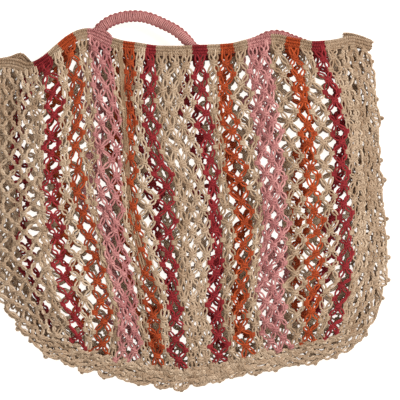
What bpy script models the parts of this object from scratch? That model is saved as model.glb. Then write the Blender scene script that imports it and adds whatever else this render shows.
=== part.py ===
"""A knotted jute string bag, lying on its back with its mouth towards +Y.

Two striped net panels are joined by one long net gusset, which is folded outward
and lies flat round the sides and the bottom. A three-rib corded heading edges the
mouth, and each panel has a short knotted rope handle. The net is modelled at twice
the pitch of its knots. Units are metres, +Z is up and the floor is at z = 0.
"""
import math
from collections import namedtuple

import bmesh
import bpy
import numpy as np
from mathutils import Matrix, Vector

COLLECTION = "string_bag"
HANDLE_GAP = 0.0009         # between the front handle's end and its heading

# The net.
NET_THICKNESS = 0.0024
BAR_WIDTH = 0.0088          # the bars between neighbouring gaps
COLUMN_PITCH = 0.0073       # between knot columns, cut flat
ROW_PITCH = 0.0245          # between the knots of one column
SIDE_COLUMN = 25            # the seams, in knot columns from the panel's middle
CUT_COLUMN = 21             # gaps are cut as far out as this column
ROWS = 14                   # knot rows from the heading to the bottom seam
DIAMOND_COLUMNS = 4         # one cut diamond spans this many columns
DIAMOND_ROWS = 2
DIAMOND_SHIFT = 0.5         # rows between the heading and the first diamond's tip
BORDER_STEP = 0.0125        # the longest edge along a seam

# The gusset, knotted as a strip.
GUSSET_REPEATS = 23         # diamonds along each of its two legs
GUSSET_PITCH = 0.049
GUSSET_LEG = 0.038          # the strip's fold to its seam, cut flat

# Heights.
FLOOR_LAYER = NET_THICKNESS / 2
FOLD_HEIGHT = 0.0066        # the upper layer just inside the outer fold
FOLD_APEX = 0.0040          # the fold itself
MOUTH_HEIGHT = 0.0335       # the upper layer in the middle of the bag
RISE_WIDTH = 0.075          # the band in which it rises from the fold
FOLD_LIFT = 0.00005         # keeps the fold's bend from dipping under the floor
SEAM_GAP = 0.0009
HEADING_GAP = 0.0017        # between a heading's lower edge and the net
CORNER_EASE = 0.0030        # how far a panel's lower corners are drawn in from the seam

# The headings and the handles.
HEADING_WIDTH = 0.0100
HEADING_THICKNESS = 0.0040
HEADING_RIB = 0.0010        # depth of the grooves between its three ribs
HEADING_STEPS = 44
HANDLE_WIDTH = 0.0140
HANDLE_THICKNESS = 0.0090
HANDLE_KNOT = 0.0054        # pitch of the knots along a handle's edges
HANDLE_SIDES = 8
KNOT_SWELL = 0.07           # how far a knot stands out, as a share of the radius

Stripe = namedtuple("Stripe", "name column x_top x_upper x_middle x_lower x_bottom y_bottom")
FRONT_STRIPES = (
    Stripe("seam_left", -25, -0.182, -0.171, -0.168, -0.162, -0.150, -0.154),
    Stripe("crimson_left_outer", -22, -0.166, -0.155, -0.153, -0.145, -0.127, -0.168),
    Stripe("orange_left_outer", -18, -0.138, -0.127, -0.122, -0.102, -0.099, -0.176),
    Stripe("pink_left", -13, -0.099, -0.091, -0.089, -0.075, -0.068, -0.185),
    Stripe("orange_left_inner", -8, -0.067, -0.065, -0.061, -0.044, -0.034, -0.192),
    Stripe("crimson_left_inner", -4, -0.043, -0.039, -0.025, -0.018, -0.006, -0.195),
    Stripe("crimson_right_inner", 4, 0.013, 0.021, 0.029, 0.035, 0.040, -0.190),
    Stripe("orange_right_inner", 8, 0.045, 0.051, 0.060, 0.062, 0.070, -0.180),
    Stripe("pink_right", 13, 0.081, 0.094, 0.102, 0.098, 0.102, -0.172),
    Stripe("orange_right_outer", 18, 0.123, 0.136, 0.144, 0.146, 0.137, -0.164),
    Stripe("crimson_right_outer", 22, 0.151, 0.172, 0.179, 0.183, 0.162, -0.157),
    Stripe("seam_right", 25, 0.172, 0.189, 0.197, 0.196, 0.178, -0.148),
)
BACK_STRIPES = (
    Stripe("seam_left", -25, -0.186, -0.191, -0.189, -0.182, -0.166, -0.122),
    Stripe("crimson_left_outer", -22, -0.172, -0.175, -0.172, -0.166, -0.147, -0.136),
    Stripe("orange_left_outer", -18, -0.147, -0.147, -0.143, -0.131, -0.120, -0.145),
    Stripe("pink_left", -13, -0.110, -0.110, -0.108, -0.099, -0.090, -0.154),
    Stripe("orange_left_inner", -8, -0.078, -0.080, -0.077, -0.067, -0.055, -0.161),
    Stripe("crimson_left_inner", -4, -0.053, -0.054, -0.045, -0.037, -0.028, -0.164),
    Stripe("crimson_right_inner", 4, 0.002, 0.002, 0.007, 0.013, 0.018, -0.162),
    Stripe("orange_right_inner", 8, 0.032, 0.034, 0.039, 0.044, 0.048, -0.155),
    Stripe("pink_right", 13, 0.071, 0.074, 0.079, 0.080, 0.080, -0.148),
    Stripe("orange_right_outer", 18, 0.110, 0.113, 0.120, 0.121, 0.115, -0.140),
    Stripe("crimson_right_outer", 22, 0.143, 0.150, 0.158, 0.159, 0.140, -0.130),
    Stripe("seam_right", 25, 0.168, 0.169, 0.176, 0.176, 0.156, -0.118),
)

# Soft folds of the upper panel, each a ridge or a trough along the bag.
Fold = namedtuple("Fold", "name x_top x_middle x_bottom half_width height")
FOLDS = (
    Fold("ridge_left_outer", -0.150, -0.132, -0.112, 0.016, 0.0028),
    Fold("trough_left_outer", -0.118, -0.108, -0.090, 0.010, -0.0022),
    Fold("ridge_left_pink", -0.096, -0.088, -0.070, 0.012, 0.0035),
    Fold("pleat_left", -0.077, -0.071, -0.048, 0.007, -0.0050),
    Fold("ridge_left_inner", -0.055, -0.038, -0.020, 0.012, 0.0030),
    Fold("trough_middle", -0.020, 0.002, 0.018, 0.012, -0.0028),
    Fold("ridge_right_inner", 0.040, 0.058, 0.064, 0.012, 0.0026),
    Fold("trough_right_inner", 0.066, 0.080, 0.084, 0.009, -0.0026),
    Fold("ridge_right_pink", 0.085, 0.100, 0.102, 0.011, 0.0032),
    Fold("trough_right_outer", 0.108, 0.122, 0.120, 0.009, -0.0024),
    Fold("ridge_right_outer", 0.135, 0.150, 0.144, 0.014, 0.0024),
)
FOLD_TOP = 0.17             # the folds' x_top and x_bottom are at these heights
FOLD_BOTTOM = -0.18
FOLD_FADE = 0.035           # distance from the outer fold at which they begin

Point = namedtuple("Point", "x y")
FRONT_HEADING = (
    Point(-0.2225, 0.157), Point(-0.207, 0.158), Point(-0.195, 0.156), Point(-0.185, 0.152),
    Point(-0.174, 0.154), Point(-0.162, 0.161), Point(-0.147, 0.174), Point(-0.133, 0.185),
    Point(-0.122, 0.190), Point(-0.112, 0.191), Point(-0.101, 0.187), Point(-0.088, 0.181),
    Point(-0.074, 0.177), Point(-0.060, 0.175), Point(-0.037, 0.1715), Point(-0.012, 0.171),
    Point(0.014, 0.172), Point(0.037, 0.173), Point(0.053, 0.1745), Point(0.066, 0.178),
    Point(0.080, 0.183), Point(0.094, 0.187), Point(0.105, 0.186), Point(0.115, 0.182),
    Point(0.128, 0.179), Point(0.141, 0.1765), Point(0.157, 0.1770), Point(0.176, 0.180),
    Point(0.187, 0.183), Point(0.199, 0.181), Point(0.2135, 0.177),
)
BACK_HEADING = (
    Point(-0.2225, 0.156), Point(-0.207, 0.160), Point(-0.195, 0.162), Point(-0.184, 0.159),
    Point(-0.172, 0.153), Point(-0.156, 0.156), Point(-0.140, 0.167), Point(-0.122, 0.177),
    Point(-0.101, 0.179), Point(-0.078, 0.174), Point(-0.044, 0.168), Point(0.002, 0.166),
    Point(0.048, 0.169), Point(0.085, 0.175), Point(0.117, 0.174), Point(0.147, 0.171),
    Point(0.168, 0.176), Point(0.182, 0.184), Point(0.195, 0.183), Point(0.2135, 0.177),
)
OUTER_FOLD = (
    Point(-0.2225, 0.1505), Point(-0.223, 0.126), Point(-0.225, 0.080), Point(-0.228, 0.034),
    Point(-0.230, -0.018), Point(-0.230, -0.058), Point(-0.225, -0.092), Point(-0.215, -0.119),
    Point(-0.197, -0.144), Point(-0.174, -0.171), Point(-0.147, -0.188), Point(-0.110, -0.199),
    Point(-0.064, -0.210), Point(-0.014, -0.217), Point(0.014, -0.213), Point(0.061, -0.202),
    Point(0.109, -0.194), Point(0.162, -0.184), Point(0.189, -0.172), Point(0.206, -0.153),
    Point(0.219, -0.129), Point(0.227, -0.102), Point(0.230, -0.072), Point(0.228, -0.035),
    Point(0.224, 0.000), Point(0.222, 0.040), Point(0.220, 0.086), Point(0.217, 0.127),
    Point(0.2135, 0.1705),
)
Route = namedtuple("Route", "x y z")
FRONT_HANDLE = (
    Route(-0.0900, 0.2030, 0.0310), Route(-0.0790, 0.2080, 0.0280), Route(-0.0690, 0.2100, 0.0250),
    Route(-0.0590, 0.2105, 0.0230), Route(-0.0470, 0.2085, 0.0220), Route(-0.0340, 0.2040, 0.0220),
    Route(-0.0230, 0.1980, 0.0230), Route(-0.0130, 0.1910, 0.0243), Route(-0.0040, 0.1825, 0.0250),
    Route(0.0060, 0.1750, 0.0254), Route(0.0220, 0.1710, 0.0257), Route(0.0480, 0.1710, 0.0259),
    Route(0.0720, 0.1765, 0.0261), Route(0.0880, 0.1815, 0.0260),
)
FRONT_HANDLE_BASE_X = -0.1005
BACK_HANDLE = (
    Route(-0.1060, 0.1765, 0.0090), Route(-0.0780, 0.1720, 0.0090), Route(-0.0320, 0.1655, 0.0090),
    Route(0.0250, 0.1665, 0.0090), Route(0.0640, 0.1745, 0.0090), Route(0.0860, 0.1825, 0.0090),
    Route(0.1030, 0.1868, 0.0090), Route(0.1180, 0.1830, 0.0090), Route(0.1330, 0.1765, 0.0090),
)

JUTE = (0.45, 0.34, 0.20)
DUSTY_PINK = (0.51, 0.14, 0.17)


def spline(at, knots, values):
    """Read a smooth curve through the values that stand at the knots."""
    knots = np.asarray(knots, float)
    values = np.asarray(values, float)
    slopes = np.gradient(values, knots, axis=0)
    place = int(np.clip(np.searchsorted(knots, at) - 1, 0, len(knots) - 2))
    span = knots[place + 1] - knots[place]
    f = (at - knots[place]) / span
    rise = f * f * (3 - 2 * f)
    first = (f - 1) ** 2 * f * span * slopes[place]
    last = f * f * (f - 1) * span * slopes[place + 1]
    return values[place] * (1 - rise) + values[place + 1] * rise + first + last


def smoothstep(value):
    value = np.clip(value, 0.0, 1.0)
    return value * value * (3 - 2 * value)


def along(points):
    """Give a function from 0..1 to a point, even in length, on a smooth curve."""
    points = np.array(points, float)
    knots = np.concatenate(([0], np.cumsum(np.linalg.norm(np.diff(points, axis=0), axis=1))))
    fine = np.array([spline(t, knots, points) for t in np.linspace(0, knots[-1], 800)])
    lengths = np.concatenate(([0], np.cumsum(np.linalg.norm(np.diff(fine, axis=0), axis=1))))
    lengths /= lengths[-1]

    def read(share):
        return np.array([np.interp(share, lengths, column) for column in fine.T])

    return read


FOLD_LINE = along(OUTER_FOLD)
FOLD_SAMPLES = np.array([FOLD_LINE(share) for share in np.linspace(0, 1, 300)])


def upper_height(x, y):
    """The middle of the upper layer over a point of the floor."""
    inside = np.min(np.hypot(FOLD_SAMPLES[:, 0] - x, FOLD_SAMPLES[:, 1] - y))
    height = FOLD_HEIGHT + (MOUTH_HEIGHT - FOLD_HEIGHT) * smoothstep(inside / RISE_WIDTH)
    relief = 0.0
    for fold in FOLDS:
        middle = spline(-y, (-FOLD_TOP, 0.0, -FOLD_BOTTOM), (fold.x_top, fold.x_middle, fold.x_bottom))
        relief += fold.height * math.exp(-(((x - middle) / fold.half_width) ** 2))
    near_mouth = smoothstep((FOLD_TOP - y) / 0.05)
    return height + relief * smoothstep(inside / FOLD_FADE - 0.5) * (0.25 + 0.75 * near_mouth)


def heading_line(heading, x):
    """Height on the page of a heading's middle line, and its slope."""
    xs = [point.x for point in heading]
    ys = [point.y for point in heading]
    step = 0.001
    slope = (spline(x + step, xs, ys) - spline(x - step, xs, ys)) / (2 * step)
    return spline(x, xs, ys), slope


def below_heading(heading, x):
    middle, slope = heading_line(heading, x)
    return middle - (HEADING_WIDTH / 2 + HEADING_GAP) * math.hypot(1, slope)


def panel_point(stripes, heading, column, row):
    """Where a place of the flat panel lies on the page."""
    share = row / ROWS
    stations = (0.0, 0.25, 0.5, 0.75, 1.0)
    columns = [stripe.column for stripe in stripes]
    places = [spline(share, stations, stripe[2:7]) for stripe in stripes]   # x_top to x_bottom
    x = spline(column, columns, places)
    x_top = spline(column, columns, [stripe.x_top for stripe in stripes])
    y_bottom = spline(column, columns, [stripe.y_bottom for stripe in stripes])
    y_top = below_heading(heading, x_top)
    return x, y_top + (y_bottom - y_top) * share


def corner_ease(column, row):
    """How far a place near a lower corner of a panel is drawn in, along X and along Y."""
    near = smoothstep((abs(column) - SIDE_COLUMN + 3) / 3) * smoothstep((row - ROWS + 3) / 3)
    return -math.copysign(CORNER_EASE, column) * near, CORNER_EASE * near


def seam_line(stripes, heading):
    """The panel's edge, down its left side, along the bottom and up the right."""
    rows = range(ROWS + 1)
    columns = range(-SIDE_COLUMN + 1, SIDE_COLUMN)
    left = [panel_point(stripes, heading, -SIDE_COLUMN, row) for row in rows]
    bottom = [panel_point(stripes, heading, column, ROWS) for column in columns]
    right = [panel_point(stripes, heading, SIDE_COLUMN, row) for row in reversed(rows)]
    return along(left + bottom + right)


def diamond_sheet(width, height, diamond, shift):
    """A flat sheet of diamonds: x = 0 is its middle, y = 0 its upper edge.

    A row of diamonds has its upper tips at y = -shift, one of them at x = 0.
    """
    bm = bmesh.new()
    cells = 2 * (math.ceil(width / diamond[0] + height / diamond[1]) + 2)
    bmesh.ops.create_grid(bm, x_segments=cells, y_segments=cells, size=cells / 2)
    everything = bm.verts[:]
    bmesh.ops.rotate(bm, verts=everything, matrix=Matrix.Rotation(math.radians(45), 3, "Z"))
    bmesh.ops.scale(
        bm, verts=everything, vec=(diamond[0] / math.sqrt(2), diamond[1] / math.sqrt(2), 1)
    )
    rows_down = round(height / diamond[1] / 2)
    bmesh.ops.translate(bm, verts=everything, vec=(0, -shift - rows_down * diamond[1], 0))
    crops = (
        ((-width / 2, 0, 0), (-1, 0, 0)),
        ((width / 2, 0, 0), (1, 0, 0)),
        ((0, 0, 0), (0, 1, 0)),
        ((0, -height, 0), (0, -1, 0)),
    )
    for place, outward in crops:
        bmesh.ops.bisect_plane(
            bm,
            geom=bm.verts[:] + bm.edges[:] + bm.faces[:],
            dist=1e-6,
            plane_co=place,
            plane_no=outward,
            clear_outer=True,
        )
    return bm


def split_long_borders(bm, longest):
    """Cut the edges of the sheet's rim to steps no longer than this."""
    for pieces in (4, 3, 2):
        rim = [
            edge
            for edge in bm.edges
            if edge.is_boundary and math.ceil(edge.calc_length() / longest) >= pieces
        ]
        if rim:
            bmesh.ops.subdivide_edges(bm, edges=rim, cuts=pieces - 1)


def cut_gaps(bm, wanted, bar_width):
    """Cut a gap in each wanted diamond and leave the bars between them."""
    diamonds = [face for face in bm.faces if wanted(face.calc_center_median())]
    bmesh.ops.inset_individual(bm, faces=diamonds, thickness=bar_width / 2, use_even_offset=True)
    bmesh.ops.delete(bm, geom=diamonds, context="FACES")


def material(name, colour):
    finish = bpy.data.materials.new(name)
    finish.use_nodes = True
    shader = finish.node_tree.nodes["Principled BSDF"]
    shader.inputs["Base Color"].default_value = (*colour, 1)
    shader.inputs["Roughness"].default_value = 0.85
    shader.inputs["Metallic"].default_value = 0.0
    return finish


def add_object(name, data, colour, collection):
    piece = bpy.data.objects.new(name, data)
    collection.objects.link(piece)
    piece.data.materials.append(material(name, colour))
    return piece


def net_object(name, bm, collection):
    """Turn a draped sheet into a net of real thickness."""
    mesh = bpy.data.meshes.new(name)
    bmesh.ops.recalc_face_normals(bm, faces=bm.faces[:])
    bm.to_mesh(mesh)
    bm.free()
    piece = add_object(name, mesh, JUTE, collection)
    wall = piece.modifiers.new("net", "SOLIDIFY")
    wall.thickness = NET_THICKNESS
    wall.offset = 0.0
    wall.use_even_offset = True
    return piece


def make_panel(name, stripes, heading, height_at, collection):
    width = 2 * SIDE_COLUMN * COLUMN_PITCH
    height = ROWS * ROW_PITCH
    diamond = (DIAMOND_COLUMNS * COLUMN_PITCH, DIAMOND_ROWS * ROW_PITCH)
    bm = diamond_sheet(width, height, diamond, DIAMOND_SHIFT * ROW_PITCH)

    def is_gap(middle):
        column = abs(middle.x) / COLUMN_PITCH
        row = -middle.y / ROW_PITCH
        whole_above = row > DIAMOND_SHIFT + 0.9
        whole_below = row < ROWS - DIAMOND_SHIFT - 0.9
        return column < CUT_COLUMN and whole_above and whole_below

    split_long_borders(bm, BORDER_STEP)
    cut_gaps(bm, is_gap, BAR_WIDTH)
    for vert in bm.verts:
        column = vert.co.x / COLUMN_PITCH
        row = -vert.co.y / ROW_PITCH
        place = np.add(panel_point(stripes, heading, column, row), corner_ease(column, row))
        vert.co = (*place, height_at(*place))
    return net_object(name, bm, collection)


def gusset_point(length_share, across, front_seam, back_seam):
    """Where a place of the gusset strip lies: across is -1 at the front seam, 0 at the fold."""
    fold = FOLD_LINE(length_share)
    heading, seam = (FRONT_HEADING, front_seam) if across < 0 else (BACK_HEADING, back_seam)
    edge = seam(length_share)
    edge = edge + (fold - edge) * SEAM_GAP / np.linalg.norm(fold - edge)
    x, y = fold + (edge - fold) * abs(across)
    end = 0.0 if length_share < 0.5 else 1.0
    fold_end = FOLD_LINE(end)
    edge_end = seam(end)
    straight = fold_end[1] + (edge_end[1] - fold_end[1]) * abs(across)
    fitted = below_heading(heading, fold_end[0] + (edge_end[0] - fold_end[0]) * abs(across))
    y += (fitted - straight) * (1 - smoothstep(abs(length_share - end) / 0.06))
    if across == 0:
        return x, y, FOLD_APEX
    return x, y, (upper_height(x, y) if across < 0 else FLOOR_LAYER + FOLD_LIFT)


def make_gusset(collection):
    length = GUSSET_REPEATS * GUSSET_PITCH
    width = 2 * GUSSET_LEG
    bm = diamond_sheet(width, length, (GUSSET_LEG, GUSSET_PITCH), 0.0)
    front_seam = seam_line(FRONT_STRIPES, FRONT_HEADING)
    back_seam = seam_line(BACK_STRIPES, BACK_HEADING)

    def is_gap(middle):
        in_leg = abs(abs(middle.x) - GUSSET_LEG / 2) < GUSSET_LEG / 8
        whole = -length + GUSSET_PITCH / 4 < middle.y < -GUSSET_PITCH / 4
        return in_leg and whole

    cut_gaps(bm, is_gap, BAR_WIDTH)
    bmesh.ops.bisect_plane(
        bm,
        geom=bm.verts[:] + bm.edges[:] + bm.faces[:],
        dist=1e-6,
        plane_co=(0, 0, 0),
        plane_no=(1, 0, 0),
    )
    fold_edges = [edge for edge in bm.edges if all(abs(vert.co.x) < 1e-6 for vert in edge.verts)]
    bmesh.ops.subdivide_edges(bm, edges=fold_edges, cuts=1)
    split_long_borders(bm, BORDER_STEP)
    for vert in bm.verts:
        across = vert.co.x / GUSSET_LEG
        across = 0 if abs(across) < 1e-5 else across
        vert.co = gusset_point(-vert.co.y / length, across, front_seam, back_seam)
    return net_object("gusset", bm, collection)


def profile_curve(name, outline, collection):
    """A closed outline that a heading or a handle is swept with."""
    curve = bpy.data.curves.new(name, "CURVE")
    curve.dimensions = "2D"
    line = curve.splines.new("POLY")
    line.points.add(len(outline) - 1)
    for point, place in zip(line.points, reversed(outline)):
        point.co = (place[0], place[1], 0, 1)
    line.use_cyclic_u = True
    guide = bpy.data.objects.new(name, curve)
    guide.hide_render = True
    guide.display_type = "WIRE"
    collection.objects.link(guide)
    return guide


def swept(name, route, profile, colour, collection, radii=None):
    """A band or a rope: the profile swept along the route, upright all the way."""
    curve = bpy.data.curves.new(name, "CURVE")
    curve.dimensions = "3D"
    curve.twist_mode = "Z_UP"
    curve.bevel_mode = "OBJECT"
    curve.bevel_object = profile
    curve.use_fill_caps = True
    line = curve.splines.new("POLY")
    line.points.add(len(route) - 1)
    for index, place in enumerate(route):
        line.points[index].co = (*place, 1)
        line.points[index].radius = radii[index] if radii else 1.0
    return add_object(name, curve, colour, collection)


def heading_profile(collection):
    half = HEADING_WIDTH / 2
    top = HEADING_THICKNESS / 2
    groove = top - HEADING_RIB
    rib = HEADING_WIDTH / 3
    outline = [(-half, -top), (half, -top), (half, groove)]
    outline += [(rib, top), (rib / 2, groove), (0, top), (-rib / 2, groove), (-rib, top), (-half, groove)]
    return profile_curve("heading_profile", outline, collection)


def handle_profile(collection):
    outline = []
    for side in range(HANDLE_SIDES):
        angle = 2 * math.pi * (side + 0.5) / HANDLE_SIDES
        reach = 1 / math.cos(math.pi / HANDLE_SIDES)
        outline.append(
            (HANDLE_WIDTH / 2 * reach * math.cos(angle), HANDLE_THICKNESS / 2 * reach * math.sin(angle))
        )
    return profile_curve("handle_profile", outline, collection)


def make_heading(name, heading, height_at, profile, collection):
    read = along(heading)
    route = []
    for step in range(HEADING_STEPS + 1):
        x, y = read(step / HEADING_STEPS)
        route.append((x, y, height_at(x, y)))
    return swept(name, route, profile, JUTE, collection)


def make_handle(name, points, profile, collection):
    """A knotted rope with a swelling at each knot."""
    read = along(points)
    fine = np.array([read(share) for share in np.linspace(0, 1, 200)])
    length = float(np.sum(np.linalg.norm(np.diff(fine, axis=0), axis=1)))
    steps = 2 * round(length / HANDLE_KNOT)
    route = [tuple(read(step / steps)) for step in range(steps + 1)]
    radii = [1.0 if step % 2 else 1.0 - KNOT_SWELL for step in range(steps + 1)]
    return swept(name, route, profile, DUSTY_PINK, collection, radii)


def front_handle_route():
    """The front handle starts square on the heading's upper edge."""
    y, slope = heading_line(FRONT_HEADING, FRONT_HANDLE_BASE_X)
    normal = Vector((-slope, 1)).normalized()
    z = upper_height(FRONT_HANDLE_BASE_X, y)
    base = Vector((FRONT_HANDLE_BASE_X, y)) + normal * (HEADING_WIDTH / 2 + HANDLE_GAP)
    away = base + normal * HANDLE_KNOT
    return [(*base, z), (*away, z)] + [tuple(place) for place in FRONT_HANDLE]


def main():
    for old in list(bpy.data.objects):
        bpy.data.objects.remove(old)
    bag = bpy.data.collections.new(COLLECTION)
    guides = bpy.data.collections.new("guides")
    for collection in (bag, guides):
        bpy.context.scene.collection.children.link(collection)

    make_panel("front_panel", FRONT_STRIPES, FRONT_HEADING, upper_height, bag)
    make_panel("back_panel", BACK_STRIPES, BACK_HEADING, lambda x, y: FLOOR_LAYER, bag)
    make_gusset(bag)
    band = heading_profile(guides)
    make_heading("front_heading", FRONT_HEADING, upper_height, band, bag)
    make_heading("back_heading", BACK_HEADING, lambda x, y: HEADING_THICKNESS / 2, band, bag)
    rope = handle_profile(guides)
    make_handle("front_handle", front_handle_route(), rope, bag)
    make_handle("back_handle", [tuple(place) for place in BACK_HANDLE], rope, bag)


main()
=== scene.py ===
"""The knotted jute string bag, strand by strand.

The strands of a net run in pairs, as tubes from knot to knot, and every knot has
three crossing bars. The headings are three wrapped cords side by side, and the
handles are flat ropes of crosswise wraps between two twisted edges.
Units are metres, the mouth points along +Y and the floor is at z = 0.
"""

import math
from collections import namedtuple

import bmesh
import bpy
import numpy as np
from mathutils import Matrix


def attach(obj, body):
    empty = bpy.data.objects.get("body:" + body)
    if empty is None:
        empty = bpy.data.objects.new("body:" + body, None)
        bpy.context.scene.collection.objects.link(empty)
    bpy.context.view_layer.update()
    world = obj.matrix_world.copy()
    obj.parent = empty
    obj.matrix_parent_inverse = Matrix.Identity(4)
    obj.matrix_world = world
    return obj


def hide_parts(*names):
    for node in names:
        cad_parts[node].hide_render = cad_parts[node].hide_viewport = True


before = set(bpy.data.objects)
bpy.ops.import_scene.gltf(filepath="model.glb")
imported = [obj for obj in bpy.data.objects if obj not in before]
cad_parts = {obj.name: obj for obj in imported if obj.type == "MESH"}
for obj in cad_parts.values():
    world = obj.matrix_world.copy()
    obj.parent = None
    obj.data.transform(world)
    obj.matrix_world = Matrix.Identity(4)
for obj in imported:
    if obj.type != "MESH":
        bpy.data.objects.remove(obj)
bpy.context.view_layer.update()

SEED = 41
draw = np.random.default_rng(SEED)

MILLIMETRE = 0.001
UPWARD = (0.0, 0.0, 1.0)
BAR_ANGLES = np.linspace(0, 2 * math.pi, 8, endpoint=False) + math.pi / 8
WRAP_ANGLES = np.linspace(0, 2 * math.pi, 12, endpoint=False)
LINE_SAMPLES = 900
FOLD_SAMPLES = 300
SEAM_SAMPLES = 80

# The nets: the knot columns to each side, the half rows from end to end, whether the odd columns
# are tied first, the strands' thickness and the sides of their tubes, how far a strand bows out
# between two knots, how far it rides off its layer, and the nodes that the net rests on.
Net = namedtuple("Net", "node side steps parity twine sides bow lift rests_on")
FRONT = Net("front_panel", 25, 28, 0, 0.00234, 6, (0.0007, 0.0018), 0.0007, ["front_heading", "gusset"])
BACK = Net("back_panel", 25, 29, 1, 0.00312, 4, (0.0007, 0.0018), 0.0, ["back_heading", "gusset"])
GUSSET = Net("gusset", 6, 94, 0, 0.00270, 6, (0.0014, 0.0028), 0.0004, ["front_heading", "back_heading"])

# Knots and strands.
TWINE_UNEVEN = (0.93, 1.07)
KNOT_HALF = 0.0026          # a knot's middle to where the strands leave it
KNOT_FILLER = 0.0010        # the two inner strands of a knot, from its middle
KNOT_WORKER = 0.0035        # the side loops of a knot, from its middle
KNOT_MOUTH = 0.0030         # the outer strands where they leave the knot
BAR_REACH = 0.0034          # half the length of a knot's crossing bars
BAR_HEIGHT = 0.00150        # a bar above and below the inner strands
BAR_SPREAD = 0.0017         # the outer two of a knot's three bars, from its middle
BAR_SLOPE = 0.26
BAR_SLOPE_UNEVEN = 0.08
BAR_UNEVEN = (0.9, 1.1)
BAR_MIXED = 0.7             # the bars' share of their reach where two colours meet
PICOT_SHARE = 0.75          # this share of the fold's knots has a loop
PICOT_REACH = (0.0008, 0.0024)
PICOT_DEEP = 0.0020         # half a loop's depth, and half its width along the fold
PICOT_WIDE = (0.0012, 0.0020)
PICOT_TILT = 0.0006
BOW_HOLD = 0.33             # a strand's bend is held this share of the way in from each knot
BOW_GAIN = 1.33             # and it is held this much further out than the bow
BOW_STATIONS = (0.36, 0.64)     # shares of the way between two knots where a strand has points
TOP_SPREAD = 0.0011         # at the heading: a strand from its pair's middle
TOP_UP = 0.006              # how far it runs up into the heading
TOP_DOWN = 0.001            # and where its first bow starts
WANDER = 0.0012             # how far a knot is off its place
RIPPLE = 0.0011             # how far a knot is above or below its layer
WANDER_LIMIT = 2            # no knot is off by more than this many times as much

# Heights of the layers' middles.
BACK_LAYER = 0.0026
FOLD_APEX = 0.0042          # the knots of the outer fold
FOLD_HEIGHT = 0.0066        # the upper layer beside the fold
MOUTH_HEIGHT = 0.0335       # the upper layer, this far or more inside the fold
RISE_WIDTH = 0.075
FLOOR_REACH = 0.56          # a strand on the floor has its middle this share of its width up
BACK_HEADING_HEIGHT = 0.0030
TAB_HEIGHT = 0.0060

# How the nets lie.
HEADING_WIDTH = 0.0100
HEADING_GAP = 0.0017        # from a heading to where its net starts
LOWER_CROWDING = 0.12       # rows in the middle of the bag are closer near the bottom
FIRST_ROW_LIFT = 0.13       # the first knots stand this many rows nearer the heading
BACK_MEETS = 0.30           # this share of the way down, the two panels' rows are level
BACK_LENGTH = 0.93          # the back panel ends this share of the way down the front
FOLD_INSET = 0.0020         # the fold's knots stand this far inside it, and their bars reach it
FOLD_CURL = 0.93            # the gusset's columns stand a little away from its fold
LAG_ACROSS = 4              # behind the fold the gusset's rows come one step later, and the step
LAG_ALONG = 3               # grows over a fourth of its width and over its first and last three steps
END_REACH = 0.06            # this share of the gusset bends to meet the headings
DRIFT_FRONT = 0.0011        # how far the layers wander from an even lattice
DRIFT_BACK = 0.0024
DRIFT_GUSSET = 0.0012
CALM_SIDES = 5              # a panel's drift grows over a fifth of its half width
CALM_ENDS = 6               # and over a sixth of its length
GUSSET_CALM_FOLD = 5        # the gusset's over a fifth of its width at the fold, a fourth at the seam
GUSSET_CALM_SEAM = 4
GUSSET_CALM_STEPS = 5       # and over five steps at each end
WAVE_COUNT = 7              # the drift is a sum of waves
WAVE_LENGTHS = (0.030, 0.095)
WAVE_HEADINGS = (-0.9, 0.9)
WAVE_SLANT = (-0.6, 0.6)
WAVE_GAIN = 1.4

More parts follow.
